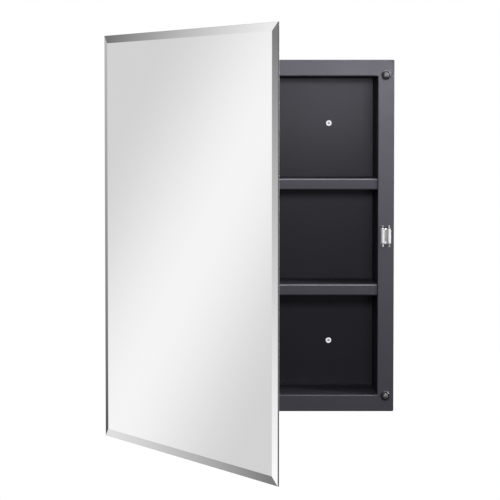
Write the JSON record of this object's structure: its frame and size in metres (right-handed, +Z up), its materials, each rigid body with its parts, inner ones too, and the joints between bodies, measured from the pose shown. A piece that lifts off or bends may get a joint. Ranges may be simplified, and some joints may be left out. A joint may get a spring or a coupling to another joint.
{
  "type": "medicine cabinet",
  "caption": "Recessed bathroom medicine cabinet in black sheet steel with fixed shelves and a hinged, bevelled mirror door held shut by a roller catch.",
  "frame": {"origin": "centre of the four wall-screw holes, in the plane of the cabinet's rear face", "axes": "+X to the right seen from the room, +Y into the wall, +Z up"},
  "size_m": [0.4776, 0.5541, 0.6604],
  "materials": {
    "black_powder_coat": "satin powder coat",
    "black_rivets": "satin",
    "white_nylon": "moulded nylon",
    "zinc_plated_steel": "bright zinc plate",
    "aluminium_rivets": "as rolled",
    "nickel_plated_steel": "nickel plate",
    "spring_steel": "drawn wire",
    "catch_rollers": "moulded nylon",
    "grey_rubber": "moulded, slightly glossy",
    "black_nylon": "moulded nylon",
    "galvanised_steel": "hot-dip galvanised",
    "foam_tape": "closed-cell foam tape",
    "backing_film": "mirror backing paint under safety film",
    "silvered_glass": "silvered float glass with a ground bevel"
  },
  "bodies": {
    "cabinet": {"cabinet_shell": "black_powder_coat", "back_panel": "black_powder_coat", "wall_grommets": "white_nylon", "upper_shelf": "black_powder_coat", "lower_shelf": "black_powder_coat", "upper_shelf_rivets": "black_rivets", "lower_shelf_rivets": "black_rivets", "hinge_leaf_cabinet": "zinc_plated_steel", "hinge_rivets_cabinet": "aluminium_rivets", "hinge_pin": "zinc_plated_steel", "catch_base": "nickel_plated_steel", "catch_rivets": "aluminium_rivets", "catch_pivot_pins": "nickel_plated_steel", "catch_springs": "spring_steel", "door_bumpers": "grey_rubber", "bumper_rings": "black_nylon"},
    "door": {"door_pan": "black_powder_coat", "door_stiffener": "galvanised_steel", "mirror_tape": "foam_tape", "mirror_backing": "backing_film", "mirror_glass": "silvered_glass", "hinge_leaf_door": "zinc_plated_steel", "hinge_rivets_door": "aluminium_rivets", "door_strike": "nickel_plated_steel", "strike_screws": "nickel_plated_steel"},
    "catch_arm_left": {"catch_arm_left": "nickel_plated_steel", "catch_axle_left": "nickel_plated_steel"},
    "catch_arm_right": {"catch_arm_right": "nickel_plated_steel", "catch_axle_right": "nickel_plated_steel"},
    "catch_roller_left": {"catch_roller_left": "catch_rollers"},
    "catch_roller_right": {"catch_roller_right": "catch_rollers"}
  },
  "joints": [
    {"name": "door_hinge", "type": "hinge", "parent": "cabinet", "child": "door", "pos_m": [-0.2315, -0.1233, 0], "axis": [0, 0, -1], "range_deg": [-56.7, 35.3]},
    {"name": "catch_arm_left_pivot", "type": "hinge", "parent": "cabinet", "child": "catch_arm_left", "pos_m": [0.21405, -0.1244, 0], "axis": [0, 0, -1], "range_deg": [0, 20], "stiffness_Nm_per_rad": 0.03, "springref_deg": -17.19},
    {"name": "catch_arm_right_pivot", "type": "hinge", "parent": "cabinet", "child": "catch_arm_right", "pos_m": [0.22445, -0.1244, 0], "axis": [0, 0, 1], "range_deg": [0, 20], "stiffness_Nm_per_rad": 0.03, "springref_deg": -17.19},
    {"name": "catch_roller_left_spin", "type": "hinge", "parent": "catch_arm_left", "child": "catch_roller_left", "pos_m": [0.21405, -0.1282, 0], "axis": [0, 0, 1], "continuous": true},
    {"name": "catch_roller_right_spin", "type": "hinge", "parent": "catch_arm_right", "child": "catch_roller_right", "pos_m": [0.22445, -0.1282, 0], "axis": [0, 0, 1], "continuous": true}
  ]
}
